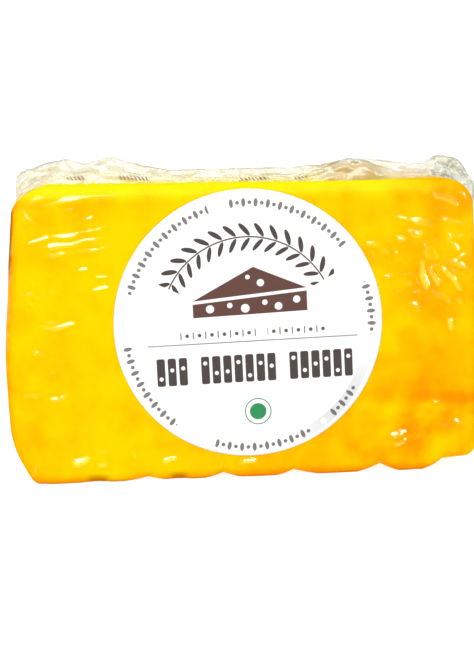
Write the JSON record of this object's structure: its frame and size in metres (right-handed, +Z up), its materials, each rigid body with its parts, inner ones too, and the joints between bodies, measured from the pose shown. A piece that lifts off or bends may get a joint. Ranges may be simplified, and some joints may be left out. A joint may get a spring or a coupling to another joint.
{
  "type": "vacuum-packed cheddar block",
  "caption": "Orange-yellow block of cheddar in tight clear vacuum film with a crumpled sealed edge, standing upright, with a round paper label on its front.",
  "frame": {"origin": "middle of the whole pack's footprint, at the level it rests on", "axes": "+X along the block's length, labelled face towards -Y, +Z up"},
  "size_m": [0.109, 0.0278, 0.0735],
  "materials": {
    "bag": "gloss",
    "paper": "satin"
  },
  "bodies": {
    "root": {"vacuum_bag": "bag", "label": "paper"}
  },
  "joints": []
}
